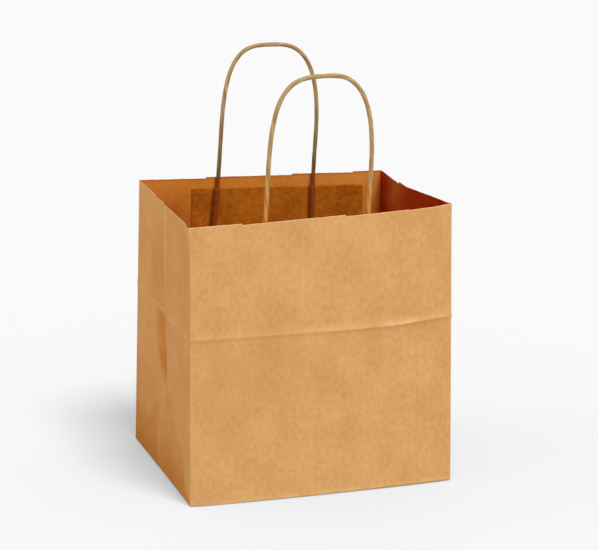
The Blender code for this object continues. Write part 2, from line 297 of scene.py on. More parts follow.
def dents(along, z):
    """Long soft bumps: each is a bell of its own width, length, turn and height."""
    total = np.zeros(np.shape(along))
    for place, height, across, length, turned, out in DENTS:
        c, s = np.cos(radians(turned)), np.sin(radians(turned))
        a = ((along - place) * c + (z - height) * s) / across
        b = ((z - height) * c - (along - place) * s) / length
        total += out * np.exp(-a * a - b * b)
    return total


print(len(DENTS), "dents, the deepest", 1000 * min(dent[-1] for dent in DENTS), "mm")

# %% How much the paper buckles
WIDE_BUCKLE = 0.00022
SIDE_BUCKLE = 0.00042
HELD_AT_CORNER = 0.012
HELD_AT_BOTTOM = 0.01
STRIP_HOLD_START = 0.045
STRIP_HOLD_REACH = 0.05
STRIP_HOLD_LEAST = 0.15


def buckles(along, x, y, z):
    """Waves and dents, held down at the corners, the bottom and the glued strips."""
    places = np.stack([x, y, z], axis=-1)
    hold = ramp(corner_distance(along), HELD_AT_CORNER) * ramp(z, HELD_AT_BOTTOM)
    strips = np.clip((HEIGHT - STRIP_HOLD_START - z) / STRIP_HOLD_REACH, STRIP_HOLD_LEAST, 1)
    size = np.where(on_wide_wall(y), WIDE_BUCKLE * strips, SIDE_BUCKLE)
    long_waves = waves(places, 0.07, 20, seed=4) + 0.5 * waves(places, 0.03, 24, seed=9)
    return hold * (size * long_waves + dents(along, z) * np.where(on_wide_wall(y), strips, 1.0))


# %% The outer face of the walls
WALL_BOW = 0.002
WALL_BOW_RISE = 0.75
BASE_BOW = 0.0046
BASE_BOW_HEIGHT = 0.09
BASE_BOW_POWER = 0.4
CORNER_RADIUS = 0.0013
CORNER_DRAW = 0.29 * CORNER_RADIUS
EDGE_LIFT_HEIGHT = 0.014
EDGE_LIFT = [  # along, how far the bottom edge stands off the floor
    (0, 0), (0.04, 0), (0.09, 0.0003), (0.13, 0.0004), (0.19, 0.0011), (0.24, 0.0013),
    (0.2535, 0.0004), (0.344, 0.0008), (0.4345, 0), (0.56, 0.0007), (0.688, 0.0003),
    (0.7785, 0.0006), (0.869, 0),
]


def wall(along, row):
    """Box, then corner shift, folds, bows and buckles. Corners are drawn in by a parabola, by
    0.29 of their radius, which is how far a quarter circle's middle is inside its corner."""
    x, y = box_outline(along)
    z = warp_rows(along, row)
    place = np.stack([x, y, z + LIFT], axis=-1) + corner_shift(x, y, z)
    out = buckles(along, x, y, z)
    ridge = flat_fold_ridge(along, row)
    bow = WALL_BOW * np.sin(pi * (x / WIDTH + 0.5)) * np.sin(pi * z / HEIGHT * WALL_BOW_RISE)
    bow += BASE_BOW * np.cos(pi * x / WIDTH) ** BASE_BOW_POWER * fall(z, BASE_BOW_HEIGHT) ** 2
    side_out = ridge + out - side_fold(x, y, z)
    place[..., 0] += np.where(on_side_wall(x), np.sign(x) * side_out, 0)
    place[..., 1] += np.where(on_wide_wall(y), np.sign(y) * (bow + ridge + out), 0)
    draw = CORNER_DRAW * fall(corner_distance(along), CORNER_RADIUS) ** 2
    low = CORNER_DRAW * fall(row, CORNER_RADIUS) ** 2
    place[..., 0] -= np.sign(x) * (draw + np.where(on_side_wall(x), low, 0))
    place[..., 1] -= np.sign(y) * (draw + np.where(on_wide_wall(y), low, 0))
    place[..., 2] += low + table(along, EDGE_LIFT) * fall(row, EDGE_LIFT_HEIGHT) ** 2
    return place


front_middle = wall(np.array([WIDTH / 2]), np.array([HEIGHT / 2]))
print("the front wall's middle is at", front_middle[0].round(4))

# %% [markdown]
# ### The cut mouth
# Bags are cut from the web by a stepped blade, which leaves a row of shallow steps: the edge
# climbs slowly and then drops by about a millimetre. The edge is also a little ragged.

# %% The steps of the mouth
STEPS = np.array([
    # walls and parts of a wall from the front left corner, drop
    (0.00, 0.0), (0.19, 0.0013), (0.58, 0.0013), (0.83, 0.0006),
    (1.00, 0.0), (1.65, 0.0017),
    (2.00, 0.0), (2.12, 0.0010), (2.38, 0.0013), (2.73, 0.0013),
    (3.00, 0.0), (3.34, 0.0015), (3.49, 0.0018), (4.00, 0.0),
])
MOUTH_BAND = 0.008
RAGGED = 0.0001
MOUTH_LIFT = [  # along, how far the mouth is pulled up
    (0, 0), (0.1, 0), (0.205, -0.0009), (0.235, -0.0002), (0.2535, 0.0014), (0.262, 0.0004),
    (ROUND, 0),
]
FLARE = 0.0022
FLARE_WIDTH = 0.011


def mouth_step(along):
    """A saw line: the edge drops at each step, then climbs back by the next one."""
    share = np.interp(along, CORNERS, np.arange(5))
    at = np.clip(np.searchsorted(STEPS[:, 0], share, side="left") - 1, 0, len(STEPS) - 2)
    start, end = STEPS[at, 0], STEPS[at + 1, 0]
    return -STEPS[at, 1] * (end - share) / (end - start)


def mouth_edge(along, row):
    """The steps and a fine raggedness in the topmost millimetres, and a long lift below."""
    x, y = box_outline(along)
    ragged = RAGGED * waves(np.stack([x, y, 0 * x], axis=-1), 0.004, 16, seed=2)
    fade = ramp(row - (HEIGHT - MOUTH_BAND), MOUTH_BAND)
    return fade * (mouth_step(along) + ragged) + table(along, MOUTH_LIFT) * ramp(row - 0.2, 0.06) ** 2


def corner_flare(along, row):
    """How far the mouth's front left corner is pushed out to the left."""
    away = np.minimum(along, ROUND - along)
    return FLARE * bell(away, FLARE_WIDTH) * ramp(row - 0.222, 0.038) ** 2


steps_at = np.interp(STEPS[STEPS[:, 1] > 0, 0], np.arange(5), CORNERS)
print(len(steps_at), "steps in the mouth")

# %% [markdown]
# ## Surfaces on a grid
# Every new piece here is a grid of points, worked out as whole arrays from two lengths. A helper
# numbers the faces of such a grid, and another puts points, faces and the flat sheet's own
# measure in a mesh. That measure is the piece's UV map, in metres, so a pattern of fibres keeps
# its true size and follows the paper round every corner.

# %% Grid lines and faces
LINE_SAMPLES = 20001


def grid_lines(low, high, coarse, fine, reach, folds):
    """Lines from low to high, close together near folds, with one line exactly on each."""
    fine_steps = np.linspace(low, high, LINE_SAMPLES)
    near = np.abs(fine_steps[:, None] - np.array(folds)).min(axis=1)
    density = 1 / coarse + (1 / fine - 1 / coarse) * bell(near, reach)
    total = np.concatenate([[0], np.cumsum((density[1:] + density[:-1]) / 2)])
    total *= (fine_steps[1] - fine_steps[0])
    count = int(np.ceil(total[-1]))
    lines = np.interp(np.linspace(0, total[-1], count + 1), total, fine_steps)
    for fold in folds:
        lines[np.abs(lines - fold).argmin()] = fold
    return lines


def grid_faces(rows, columns, closed):
    """Quads between neighbouring rows and columns; a closed grid joins its last column on."""
    first = np.arange(columns if closed else columns - 1)
    second = (first + 1) % columns
    low = np.arange(rows - 1)[:, None] * columns
    corners = [low + first, low + second, low + columns + second, low + columns + first]
    return np.stack(corners, axis=-1).reshape(-1, 4)


# %% A piece from a grid, and its thickness
def add_piece(name, points, faces, sheet, materials, marks):
    """A smooth mesh from points, faces and each face corner's place on the flat sheet. A mark
    is a number for each point, which materials read by name."""
    mesh = bpy.data.meshes.new(name)
    mesh.from_pydata(points.reshape(-1, 3).tolist(), [], faces)
    mesh.uv_layers.new(name="sheet").data.foreach_set("uv", np.ravel(sheet))
    for mark, values in marks.items():
        layer = mesh.attributes.new(mark, "FLOAT", "POINT")
        layer.data.foreach_set("value", np.ravel(values).astype(np.float32))
    mesh.polygons.foreach_set("use_smooth", np.ones(len(faces), dtype=bool))
    mesh.validate()
    for material in materials:
        mesh.materials.append(material)
    print(name, len(mesh.vertices), "points,", len(mesh.polygons), "faces")
    return add_object(name, mesh)


def add_thickness(piece, thickness, inner=1, rim=2):
    """Solidify: the sheet grows away from its normals, with other materials inside."""
    solidify = piece.modifiers.new("Thickness", "SOLIDIFY")
    solidify.thickness = thickness
    solidify.offset = -1.0
    solidify.material_offset = inner
    solidify.material_offset_rim = rim


# %% [markdown]
# ## The papers
# Kraft is the strong brown paper of unbleached softwood pulp. Its long fibres lie mostly along
# the web, here up and down the bag. To the eye it is a warm tan with small clouds, fine streaks
# and a few dark specks of bark. Its outer face is smoothed by a hot roller and has a slight
# sheen, its inner face is rougher and deeper in colour, and a cut edge or a worn fold is paler.
#
# Single fibres are 0.03 mm wide, far below what a picture of the whole bag shows, so the fibre
# pattern here is drawn about 30 times as coarse. The specks and clouds have their real size.

# %% Colours and nodes
MIX_FIRST, MIX_SECOND, MIX_RESULT = 6, 7, 2  # the colour sockets of a Mix node


def linear(colour):
    """An sRGB hex colour as linear RGBA, by the sRGB curve."""
    srgb = np.array([int(colour[i:i + 2], 16) for i in (1, 3, 5)]) / 255
    value = np.where(srgb <= 0.04045, srgb / 12.92, ((srgb + 0.055) / 1.055) ** 2.4)
    return (*value.tolist(), 1.0)


def add_node(tree, kind, inputs=None, **settings):
    """Adds a shader node with its settings; an input is a value, or an output to link from."""
    node = tree.nodes.new("ShaderNode" + kind)
    for name, value in settings.items():
        setattr(node, name, value)
    for key, value in (inputs or {}).items():
        if isinstance(value, bpy.types.NodeSocket):
            tree.links.new(value, node.inputs[key])
        else:
            node.inputs[key].default_value = value
    return node


def mix(tree, share, first, second):
    """From the first colour to the second by a share; each is an output or linear RGBA."""
    inputs = {0: share, MIX_FIRST: first, MIX_SECOND: second}
    return add_node(tree, "Mix", inputs, data_type="RGBA").outputs[MIX_RESULT]


def noise(tree, place, size, octaves):
    """Soft noise whose largest features have about that size."""
    inputs = {"Vector": place, "Scale": 1 / size, "Detail": octaves}
    return add_node(tree, "TexNoise", inputs).outputs[0]


def tint(tree, body, colours):
    """Mixes each mark's colour in, by the number that the piece's points carry for it."""
    for mark, colour in colours.items():
        share = add_node(tree, "Attribute", attribute_name=mark).outputs["Fac"]
        body = mix(tree, share, body, linear(colour))
    return body


def link_finish(tree, shader, body, height, distance):
    """Links a colour, and a bump from a height, to the shader."""
    bump = add_node(tree, "Bump", {"Height": height, "Distance": distance})
    tree.links.new(body, shader.inputs["Base Color"])
    tree.links.new(bump.outputs[0], shader.inputs["Normal"])


def new_material(name, roughness, gloss, refraction=1.5):
    """A material, its node tree and its shader with those numbers."""
    material = bpy.data.materials.new(name)
    material.use_nodes = True
    shader = material.node_tree.nodes["Principled BSDF"]
    numbers = {"Roughness": roughness, "Specular IOR Level": gloss, "IOR": refraction}
    for socket, value in numbers.items():
        shader.inputs[socket].default_value = value
    return material, material.node_tree, shader


# %% The recipe for a paper
SPECK = 0.0011
SPECK_SHARE = 0.55
PAPER_REFRACTION = 1.47
PAPER_GLOSS = 0.03
PAPER_BUMP = 0.00005
NOISES = {
    # size across the web and along it in metres, octaves
    "fibres": (0.0010, 0.0024, 2.0),
    "flocks": (0.0040, 0.0060, 2.0),
    "streaks": (0.0035, 0.1200, 1.0),
    "clouds": (0.0320, 0.0450, 2.0),
}


def paper_pattern(tree, flat, shares):
    """The shares of the four noises, added up to one value about 0.5."""
    value = 0.5 - 0.5 * sum(shares.values())
    for name, share in shares.items():
        across, along_web, octaves = NOISES[name]
        place = add_node(tree, "Mapping",
                         {"Vector": flat, "Scale": (1 / across, 1 / along_web, 1)}).outputs[0]
        inputs = {0: noise(tree, place, 1.0, octaves), 1: share, 2: value}
        value = add_node(tree, "Math", inputs, operation="MULTIPLY_ADD").outputs[0]
    return value


def make_paper(name, shares, dark, light, speck, wear_and_highlight_colour, deep, roughness, thrown=None,
               painted_shade_mark="painted_shade"):
    """A paper: its pattern between two colours, dark specks, worn folds with painted highlights,
    and painted shade in its deep colour. Where a thrown colour is given, that is the light which its
    face throws on other things."""
    material, tree, shader = new_material(name, roughness, PAPER_GLOSS, PAPER_REFRACTION)
    flat = add_node(tree, "UVMap", uv_map="sheet").outputs[0]
    pattern = paper_pattern(tree, flat, shares)
    body = mix(tree, pattern, linear(dark), linear(light))
    found = {0: noise(tree, flat, SPECK, 1.0), 1: 0.7, 2: 0.78, 3: 0.0, 4: SPECK_SHARE}
    found = add_node(tree, "MapRange", found).outputs[0]
    body = mix(tree, found, body, linear(speck))
    body = tint(tree, body, {"wear_and_highlight": wear_and_highlight_colour, painted_shade_mark: deep})
    if thrown:
        path = add_node(tree, "LightPath").outputs["Is Diffuse Ray"]
        body = mix(tree, path, body, linear(thrown))
    link_finish(tree, shader, body, pattern, PAPER_BUMP)
    return material


# %% The bag's three papers and the strips' paper
web = {"fibres": 0.28, "flocks": 0.8, "streaks": 0.12, "clouds": 0.85}
# Each paper's deep colour is painted shade; its worn colour is wear, and on the bag also painted
# highlights.
kraft_outside = make_paper(
    "kraft_machine_glazed_face", web, dark="#c28a52", light="#dcac6f", speck="#8a5a2c",
    wear_and_highlight_colour="#e9bf8a", deep="#be752d", roughness=0.62, thrown="#686868")
kraft_inside = make_paper(
    "kraft_rough_inner_face", web, dark="#d0802a", light="#ec9c40", speck="#7d4518",
    wear_and_highlight_colour="#e8ad66", deep="#9e2202", roughness=0.85, painted_shade_mark="inner_painted_shade")
kraft_edge = make_paper(
    "kraft_cut_edge", web, dark="#dcb07a", light="#efcb98", speck="#b98a55",
    wear_and_highlight_colour="#f0d0a0", deep="#dcb07a", roughness=0.9)
pulp = {"fibres": 0.8, "flocks": 1.15, "streaks": 0.2, "clouds": 1.3}
strip_paper = make_paper(
    "recycled_strip_paper", pulp, dark="#9b4d0a", light="#cc7c20", speck="#5a2c0a",
    wear_and_highlight_colour="#8f3f20", deep="#4a1606", roughness=0.9)
kraft = [kraft_outside, kraft_inside, kraft_edge]
print("papers:", [paper.name for paper in (*kraft, strip_paper)])

# %% [markdown]
# ## The bag's sheet
# The walls and the floor are one surface. Its rows start at a single point in the middle of the
# floor, run outwards in rings to the bottom edge, and go on up the walls to the mouth. The
# surface is closed round the bag, and Solidify then gives it the paper's thickness on the
# inside. The rows and columns are close together where the paper is folded.

# %% Rows and columns of the sheet
STEP_RUN = 0.0004
LEAST_GAP = 0.0001
columns = grid_lines(0.0, ROUND, coarse=0.0036, fine=0.0006, reach=0.003,
                     folds=[*CORNERS, *MIDDLE_FOLDS])
columns = np.unique(np.concatenate([columns, steps_at, steps_at + STEP_RUN]).round(7))[:-1]
columns = columns[np.diff(columns, prepend=-1.0) > LEAST_GAP]
rows = grid_lines(0.0, HEIGHT, coarse=0.0034, fine=0.0005, reach=0.0022,
                  folds=[0.0, FLAT_FOLD, HEIGHT])
rings = np.array([0.12, 0.3, 0.5, 0.7, 0.85, 0.94, 0.975, 0.99, 0.996])
print(len(columns), "columns,", len(rings), "rings and", len(rows), "rows")

# %% The floor's rings
FLOOR_EDGE = 0.98


def floor_ring(along, share):
    """The floor: the walls' foot drawn in to the middle, with the edge rounded upwards."""
    flat = share[..., None] * wall(along, np.zeros_like(along))
    flat[..., 2] = LIFT + CORNER_DRAW * ramp(share - FLOOR_EDGE, 1 - FLOOR_EDGE) ** 2
    return flat


# %% [markdown]
# ### Wear, painted highlights and painted shade
# Handling rubs a fold pale, and the pale bands by the folds are also painted highlights. Shade on
# the folded facets and under the folds is painted as a deeper colour. Such marks could be painted
# by hand. Here each is a bell, a step or a table of the same two
# lengths as the shape, so it always sits on its fold. The points carry the marks, and the
# papers mix their worn and deep colours in by them. Waves break the marks up into patches.


# %% Where the paper is worn pale, and where highlights are painted
def wear_and_painted_highlight(along, row):
    """How pale the paper is: worn along the folds and at the cut mouth, with painted highlights by
    the folds and along the wide walls' bottom edge, in patches.
    """
    x, y = box_outline(along)
    patches = waves(np.stack([x, y, row], axis=-1), 0.018, 12, seed=5)
    patches = np.clip(0.6 + 0.25 * patches, 0.1, 1)
    # The middle folds: worn, with a painted highlight spread soft over their front side, and sharp
    # behind.
    front = before_middle(along)
    middle = bell(front, np.where(front > 0, 0.0042, 0.0009))
    middle *= table(row, [(0.08, 0), (0.095, 0.3), (0.15, 0.35), (0.165, 0.75), (HEIGHT, 0.9)])
    # A painted highlight on the band above the flat fold, most on the front's right.
    band = np.where(row > FLAT_FOLD, bell(row - FLAT_FOLD, 0.005), 0)
    band *= table(along, [(0, 0.2), (0.05, 0.25), (0.14, 0.45), (0.21, 0.95), (0.245, 0.5),
                          (0.26, 0.35), (ROUND, 0.35)])
    # The upright corners, worn, and a painted highlight along the wide walls' bottom edge.
    corner = 0.5 * bell(corner_distance(along), 0.0009)
    bottom = np.where(on_wide_wall(y), 0.6, 0.0) * bell(row, 0.0032)
    # A paler place under the back wall's mouth.
    paler_place = 0.45 * bell(along - CORNERS[2] - 0.045, 0.04) * step(row - 0.236, 0.006)
    paler_place *= step(along - CORNERS[2], 0.0005)
    lines = np.maximum.reduce([corner, bottom, 0.75 * middle, band, paler_place]) * patches
    return np.maximum(lines, 0.75 * fall(HEIGHT - row, 0.0011))


# %% Where shade is painted on the outer face
def side_wall_painted_shade(front, row):
    """Painted shade on a side wall, by how far a point is in front of the middle fold."""
    behind = step(-front - 0.0006, 0.0006)
    # Painted shade on a leaf 43 mm wide, behind the middle fold and over the flat fold.
    leaf = behind * step(0.043 + front, 0.006) * step(row - 0.16, 0.0015)
    leaf *= step(0.226 - row, 0.014)
    # Painted shade on a wedge under the flat fold, which widens upwards to 28 mm.
    width = table(row, [(0.08, 0), (0.092, 0.009), (0.112, 0.021), (0.147, 0.028)])
    wedge = behind * step(width + front, 0.006) * step(FLAT_FOLD - row, 0.0012)
    wedge *= step(row - 0.084, 0.006)
    # The triangle: painted shade, deeper near the floor, with a paler streak.
    slant = TRIANGLE * (1 - np.abs(front) / (DEPTH / 2)) - row
    streak = bell(front + 0.014, 0.012) * step(row - 0.02, 0.008)
    triangle = step(slant, 0.004) * (0.2 + 0.22 * step(0.024 - row, 0.012) - 0.16 * streak)
    # Painted shade on the lower rear, deepest in its corner.
    rear = step(-0.015 - front, 0.012) * step(0.088 - row, 0.018)
    rear *= 0.18 + 0.34 * step(-0.062 - front, 0.012) * step(0.042 - row, 0.01)
    # Painted shade at the triangle's tip and along its slanted folds.
    tip = 0.45 * bell(front + 0.0012, 0.0011) * bell(row - 0.07, 0.011)
    tip += 0.22 * bell(slant + 0.0006, 0.0014) * step(0.074 - row, 0.004)
    return 0.24 * leaf + 0.62 * wedge + triangle + rear + tip - 0.07 * step(-front, 0.004)


def painted_fold_shade(along, row):
    """How much shade is painted on the outer face: over all the side walls and more on their
    folded facets, a darker place on the front, and a soft painted shadow line under the flat fold."""
    x, y = box_outline(along)
    side = side_wall_painted_shade(before_middle(along), row) * np.where(along > CORNERS[2], 1.0, 0.45)
    dull = 0.16 * bell(along - 0.05, 0.06) * bell(row - 0.12, 0.05)
    under = bell(FLAT_FOLD - 0.0026 - row, 0.002)
    under *= table(along, [(0, 0.24), (0.1, 0.2), (0.25, 0.12), (ROUND - 0.07, 0.3),
                           (ROUND - 0.01, 0.8), (ROUND, 0.24)])
    patches = 1 + 0.12 * waves(np.stack([x, y, row], axis=-1), 0.026, 14, seed=6)
    return np.clip(np.maximum(np.where(on_side_wall(x), 0.4 + side, dull), under) * patches, 0, 1)


# %% Shade painted on the inner face
def inner_painted_shade(along, row):
    """How much shade is painted on the inner face: most inside the right wall, then down in the bag
    and in the upright corners; and a dark line along the rim."""
    x, y = box_outline(along)
    corner = corner_distance(along)
    right = step(along - CORNERS[1], 0.001) * step(CORNERS[2] - along, 0.001)
    # The right wall's painted shade: deeper upwards, with a painted lit place near its rear corner.
    deep = right * (0.92 + 0.08 * bell(corner, 0.022))
    deep *= table(row, [(0, 0.4), (0.14, 0.5), (0.205, 1)])
    deep -= right * 0.34 * bell(CORNERS[2] - 0.05 - along, 0.024) * step(row - 0.23, 0.009)
    # Painted shade on the other walls: deepest a little below the mouth, and towards the left.
    lower = table(row, [(0, 0.2), (0.12, 0.28), (0.222, 0.52), (0.24, 0.22), (0.253, 0)])
    lower *= table(along, [(CORNERS[2], 0.2), (CORNERS[2] + 0.06, 0.7), (CORNERS[3] - 0.05, 0.8),
                           (CORNERS[3], 1.2)])
    deep += (1 - right) * (lower + 0.25 * bell(corner, 0.003))
    patches = 1 + (0.24 - 0.18 * right) * waves(np.stack([x, y, row], axis=-1), 0.022, 14, seed=8)
    # A thin line along the rim of the right and back walls.
    rim = 0.6 * bell(HEIGHT - row, 0.0014) * step(along - CORNERS[1], 0.001)
    return np.clip(np.maximum(deep * patches, rim * step(CORNERS[3] - along, 0.001)), 0, 1)


# %% The sheet's points and their marks
ring_share, ring_along = np.meshgrid(rings, columns, indexing="ij")
wall_row, wall_along = np.meshgrid(rows, columns, indexing="ij")
wall_points = wall(wall_along, wall_row)
wall_points[..., 2] += mouth_edge(wall_along, wall_row)
wall_points[..., 0] -= corner_flare(wall_along, wall_row)
sheet_points = np.concatenate([floor_ring(ring_along, ring_share), wall_points])
sheet_points = np.concatenate([sheet_points.reshape(-1, 3), [[0.0, 0.0, LIFT]]])
sheet_marks = {}
for name, mark in (("wear_and_highlight", wear_and_painted_highlight), ("painted_shade", painted_fold_shade), ("inner_painted_shade", inner_painted_shade)):
    values = np.concatenate([np.zeros_like(ring_share), mark(wall_along, wall_row)])
    sheet_marks[name] = np.append(values, 0)
    print("the most", name, "is", values.max().round(2))

# %% Its faces, and the flat sheet's own measure at each face corner
levels = len(rings) + len(rows)
quads = grid_faces(levels, len(columns), closed=True)
number = np.arange(len(columns))
pole = np.full(len(columns), len(columns) * levels)
fan = np.stack([number, pole, (number + 1) % len(columns)], axis=-1)

edges = np.append(columns, ROUND)
face_row, face_column = np.divmod(np.arange(len(quads)), len(columns))
row_at = np.concatenate([np.zeros(len(rings)), rows])
wall_sheet = np.stack([
    np.stack([edges[face_column + right], row_at[face_row + up]], axis=-1)
    for right, up in ((0, 0), (1, 0), (1, 1), (0, 1))
], axis=1)
on_floor = (face_row < len(rings))[:, None, None]
sheet = np.where(on_floor, sheet_points[quads][..., :2], wall_sheet)
sheet = np.concatenate([sheet.reshape(-1, 2), sheet_points[fan][..., :2].reshape(-1, 2)])
bag = add_piece("bag_sheet", sheet_points, quads.tolist() + fan.tolist(), sheet, kraft, sheet_marks)
add_thickness(bag, PAPER)

# %% [markdown]
# ### The glued lap and the bottom flaps
# A flat sheet becomes a tube where one edge is glued over the other, here down the back wall
# near a corner. Only one edge of that lap shows, as a thin step: the lap lies on the wall there
# and runs into it on its other side. Under the floor, two long flaps with slanted ends are
# glued over each other.

# %% The lap down the back wall
SEAM_WIDTH = 0.016
SEAM_INSET = 0.01
SEAM_SINK = 1.2
SEAM_THICKNESS = 0.6 * PAPER
seam_high = CORNERS[3] - SEAM_INSET
seam_columns = columns[(columns > seam_high - SEAM_WIDTH) & (columns < seam_high)]
seam_rows = rows[(rows > 0.002) & (rows < HEIGHT - 0.0015)]
seam_row, seam_along = np.meshgrid(seam_rows, seam_columns, indexing="ij")
seam_points = wall(seam_along, seam_row)
seam_points[..., 1] += PAPER * (1.0 - SEAM_SINK * ramp(seam_along - seam_columns[0], SEAM_WIDTH))
seam_faces = grid_faces(len(seam_rows), len(seam_columns), closed=False)
seam_sheet = np.stack([seam_along + 0.4, seam_row], axis=-1).reshape(-1, 2)[seam_faces]
seam_wear = 0.6 * bell(seam_along - seam_columns[0], 0.0012)
lap = add_piece("glued_lap", seam_points, seam_faces.tolist(), seam_sheet,
                [kraft_outside, kraft_outside, kraft_edge], {"wear_and_highlight": seam_wear})
add_thickness(lap, SEAM_THICKNESS)

# %% The flaps under the floor
FLAP_LAP = 0.018
FLAP_END = 0.074
FLAP_SET_BACK = 0.001
FLAP_ROWS, FLAP_COLUMNS = 29, 41
FLAP_THICKNESS = 0.75 * PAPER
FLAP_BUCKLE = 0.00001


def flap(side_y, height):
    """A trapezium: each line across it is shorter, from its wall to past the middle."""
    share = np.linspace(0, 1, FLAP_ROWS)
    edge = DEPTH / 2 - FLAP_SET_BACK
    y = side_y * (edge + share * (-FLAP_LAP - edge))
    half = (WIDTH / 2 - FLAP_SET_BACK) * (1 - share) + FLAP_END / 2 * share
    grid_y, grid_u = np.meshgrid(y, np.linspace(-1, 1, FLAP_COLUMNS), indexing="ij")
    x = grid_u * half[:, None]
    place = np.stack([x, grid_y, 0 * x], axis=-1) + corner_shift(x, grid_y, 0 * x)
    place[..., 2] = height + FLAP_BUCKLE * waves(place, 0.03, 12, seed=7)
    return place


flaps = []
for name, side_y, height in (("back_bottom_flap", 1, 0.00006), ("front_bottom_flap", -1, 0.00022)):
    flap_points = flap(side_y, height)
    flap_faces = grid_faces(FLAP_ROWS, FLAP_COLUMNS, closed=False)[:, ::side_y]
    flap_sheet = flap_points[..., :2].reshape(-1, 2)[flap_faces]
    flaps.append(add_piece(name, flap_points, flap_faces.tolist(), flap_sheet, kraft,
                           {"wear_and_highlight": np.zeros(flap_points.shape[:2])}))
    add_thickness(flaps[-1], FLAP_THICKNESS)

# %% [markdown]
# ## The twisted paper handles
# A paper cord is a long ribbon of kraft, damped, gathered and twisted hard until it is a round
# string. The edges of the ribbon show as soft grooves that wind round it, and the colour
# changes slowly along it with the pulp. The cord is bent to an arch and dries stiff. So it
# stands up by itself, and is made as a formed piece with both ends held, not as a loose cord.
#
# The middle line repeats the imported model's route. Round it goes a ring of points whose radius
# dips at each groove, and the whole pattern turns once in each lay.

# %% The route of a handle
CORD_RADIUS = 0.00205
CORD_STEPS = 400
HANDLE_SPACING = 0.0990
LEG_SPLAY = 0.0020
LEG_DEPTH = 0.050
ARCH_FOOT = 0.030
ARCH_LEFT_POWER = 3.5
ARCH_RIGHT_POWER = 2.7
# painted_glow_foot is how much painted warm glow, light from the bag's inside, a handle's feet get.
HANDLES = {
    "front": {"side": -1, "centre": -0.0061, "rise": 0.1252, "lean": 0.038,
              "dark_foot": 0.0, "painted_glow_foot": 0.85},
    "back": {"side": 1, "centre": 0.0033, "rise": 0.1271, "lean": 0.048,
             "dark_foot": 0.8, "painted_glow_foot": 0.00},
}


def leg_offset(z):
    """How far each leg stands from the handle's centre: they spread a little downwards."""
    share = ramp(z - (HEIGHT - LEG_DEPTH), ARCH_FOOT + LEG_DEPTH)
    return HANDLE_SPACING / 2 + LEG_SPLAY * (1 - share) ** 2


def handle_middle(handle, z):
    """Where the handle's centre is at a height: the whole handle leans to the right."""
    return handle["centre"] + handle["lean"] * (z - HEIGHT)


def inside_wall(side_y, x, z, depth):
    """A point inside the mouth, at a depth from a wide wall's inner face, or above it."""
    along = x + WIDTH / 2 if side_y < 0 else CORNERS[2] + WIDTH / 2 - x
    place = wall(along, np.minimum(z, HEIGHT))
    place[..., 2] += np.maximum(0, z - HEIGHT)
    place[..., 1] -= side_y * (PAPER + depth)
    return place


def handle_route(handle):
    """Even steps up the left leg, over a superellipse that is squarer on its left, with
    x = cos(t)^(2 / power) and z = sin(t)^(2 / power), and down again."""
    foot = HEIGHT + ARCH_FOOT
    z_leg = np.linspace(HEIGHT - LEG_DEPTH, foot, 60)[:-1]
    turn = np.linspace(0, pi, 600)
    power = np.where(turn < pi / 2, ARCH_LEFT_POWER, ARCH_RIGHT_POWER)
    arch_x = -np.sign(np.cos(turn)) * np.abs(np.cos(turn)) ** (2 / power) * HANDLE_SPACING / 2
    arch_z = foot + (handle["rise"] - ARCH_FOOT) * np.sin(turn) ** (2 / power)
    x = np.concatenate([-leg_offset(z_leg), arch_x, leg_offset(z_leg)[::-1]])
    z = np.concatenate([z_leg, arch_z, z_leg[::-1]])
    line = inside_wall(handle["side"], handle_middle(handle, z) + x, z, GLUE_GAP + CORD_RADIUS)
    length = np.concatenate([[0], np.cumsum(np.linalg.norm(np.diff(line, axis=0), axis=1))])
    even = np.linspace(0, length[-1], CORD_STEPS)
    return np.stack([np.interp(even, length, line[:, i]) for i in range(3)], axis=-1), even


for name, handle in HANDLES.items():
    print(name, "handle's cord is about", round(handle_route(handle)[1][-1] * 1000), "mm long")

# %% The twisted cord's surface
CORD_LAY = 0.052
CORD_FOLDS = 2
CORD_SIDES = 30
TWIST_WANDER = 0.7
GROOVE_DEPTH = 0.12
GROOVE_CHANGE = 0.03


def cord_surface(line, length, seed):
    """Rings square to the line; the radius dips at each groove, and closes to both ends."""
    along = unit(np.gradient(line, axis=0))
    across = unit(np.cross(along, [0.0, 1.0, 0.0]))
    other = np.cross(along, across)
    angle = np.arange(CORD_SIDES) / CORD_SIDES * 2 * pi
    places = np.stack([length, 0 * length, 0 * length], axis=-1)
    wander = waves(places, 0.07, 8, seed) + 0.3 * waves(places, 0.014, 8, seed + 1)
    turned = angle + 2 * pi * (length / CORD_LAY)[:, None] + TWIST_WANDER * wander[:, None]
    groove = (1 - np.abs(np.sin(CORD_FOLDS / 2 * turned))) ** 3
    deep = GROOVE_DEPTH + GROOVE_CHANGE * np.sin(turned + wander[:, None])
    from_end = np.minimum(length, length[-1] - length)
    dome = np.sqrt(1 - fall(from_end, CORD_RADIUS) ** 2)
    radius = CORD_RADIUS * (1 - deep * groove) * dome[:, None]
    ring = np.cos(angle)[:, None] * across[:, None] + np.sin(angle)[:, None] * other[:, None]
    return line[:, None] + radius[..., None] * ring, turned, groove


# %% [markdown]
# ### The cord's finish
# Twisted kraft is the same unbleached paper, pressed hard and slightly shiny on its ridges. The
# grooves are darker, since dust and shade gather there. The pattern reads the angle round the
# twisted cord and the length along it, so the streaks wind round with the folds. Near the rim,
# the front handle's feet get a painted warm glow of light from the bag's inside, the back
# handle's feet are darker, and glue darkens the ends.

# %% The cord's material
CORD_ROUGHNESS = 0.55
CORD_GLOSS = 0.15
CORD_BUMP = 0.00012
STREAK = 0.0013
PULP_CHANGE = 0.02
# The warmed colour is a painted glow of warm light thrown from the bag's inside.
CORD_MARKS = {"painted_warm_glow": "#cf8030", "groove": "#6b4c28", "handled": "#604818", "glued": "#9a4212"}


